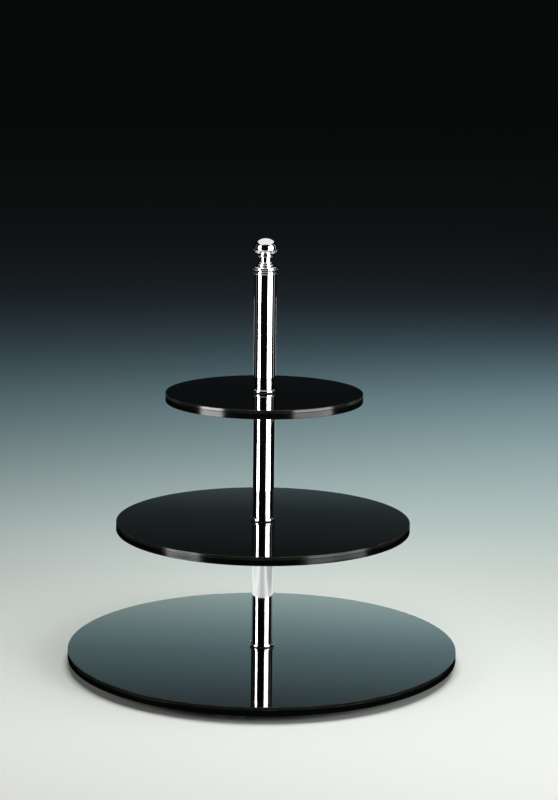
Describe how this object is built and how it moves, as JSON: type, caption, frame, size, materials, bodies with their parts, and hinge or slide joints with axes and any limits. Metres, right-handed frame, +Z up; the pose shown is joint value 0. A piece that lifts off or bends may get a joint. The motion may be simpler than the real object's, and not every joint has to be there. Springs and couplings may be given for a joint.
{
  "type": "tiered cake stand",
  "caption": "Cake stand with round glossy black plates that get smaller upwards, on a chromed screw-together column with a turned finial and rubber feet.",
  "frame": {"origin": "on the surface that the stand rests on, under the axis of the column", "axes": "+Z up along the column, the front is towards -Y and +X is to the right"},
  "size_m": [0.4, 0.4, 0.4395],
  "materials": {
    "black_acrylic": "polished",
    "smoked_acrylic": "polished",
    "chrome": "polished",
    "zinc_steel": "satin",
    "rubber": "matte"
  },
  "bodies": {
    "base": {"base_plate_core": "black_acrylic", "base_plate_cover": "smoked_acrylic", "base_rubber_washer": "rubber", "base_backing_washer": "zinc_steel", "base_screw": "zinc_steel", "foot_1": "rubber", "foot_2": "rubber", "foot_3": "rubber", "foot_4": "rubber", "foot_screw_1": "zinc_steel", "foot_screw_2": "zinc_steel", "foot_screw_3": "zinc_steel", "foot_screw_4": "zinc_steel"},
    "lower_washer": {"lower_seat_washer": "rubber"},
    "lower_column": {"lower_collar_plug": "chrome", "lower_tube": "chrome", "lower_head_plug": "zinc_steel", "lower_stud": "zinc_steel", "middle_support_washer": "rubber", "middle_plate_core": "black_acrylic", "middle_plate_cover": "smoked_acrylic"},
    "middle_washer": {"middle_seat_washer": "rubber"},
    "middle_column": {"middle_collar_plug": "chrome", "middle_tube": "chrome", "middle_head_plug": "zinc_steel", "middle_stud": "zinc_steel", "top_support_washer": "rubber", "top_plate_core": "black_acrylic", "top_plate_cover": "smoked_acrylic"},
    "upper_washer": {"upper_seat_washer": "rubber"},
    "upper_column": {"upper_collar_plug": "chrome", "upper_tube": "chrome", "upper_head_plug": "zinc_steel", "upper_end_ring": "chrome"},
    "finial_washer": {"finial_seat_washer": "rubber"},
    "finial": {"finial_knob": "chrome", "finial_stud": "zinc_steel"}
  },
  "joints": [
    {"name": "lower_lift", "type": "slide", "parent": "base", "child": "lower_washer", "axis": [0, 0, 1], "range_m": [0, 0.0125]},
    {"name": "lower_unscrew", "type": "hinge", "parent": "lower_washer", "child": "lower_column", "pos_m": [0, 0, 0.017], "axis": [0, 0, 1], "range_deg": [0, 3601]},
    {"name": "middle_lift", "type": "slide", "parent": "lower_column", "child": "middle_washer", "axis": [0, 0, 1], "range_m": [0, 0.0125]},
    {"name": "middle_unscrew", "type": "hinge", "parent": "middle_washer", "child": "middle_column", "pos_m": [0, 0, 0.15], "axis": [0, 0, 1], "range_deg": [0, 3601]},
    {"name": "upper_lift", "type": "slide", "parent": "middle_column", "child": "upper_washer", "axis": [0, 0, 1], "range_m": [0, 0.0125]},
    {"name": "upper_unscrew", "type": "hinge", "parent": "upper_washer", "child": "upper_column", "pos_m": [0, 0, 0.283], "axis": [0, 0, 1], "range_deg": [0, 3601]},
    {"name": "finial_lift", "type": "slide", "parent": "upper_column", "child": "finial_washer", "axis": [0, 0, 1], "range_m": [0, 0.01]},
    {"name": "finial_unscrew", "type": "hinge", "parent": "finial_washer", "child": "finial", "pos_m": [0, 0, 0.4065], "axis": [0, 0, 1], "range_deg": [0, 2881]}
  ],
  "couplings": [
    {"joint": "lower_unscrew", "follows": "lower_lift", "rad_per_m": 5026.5},
    {"joint": "middle_unscrew", "follows": "middle_lift", "rad_per_m": 5026.5},
    {"joint": "upper_unscrew", "follows": "upper_lift", "rad_per_m": 5026.5},
    {"joint": "finial_unscrew", "follows": "finial_lift", "rad_per_m": 5026.5}
  ]
}
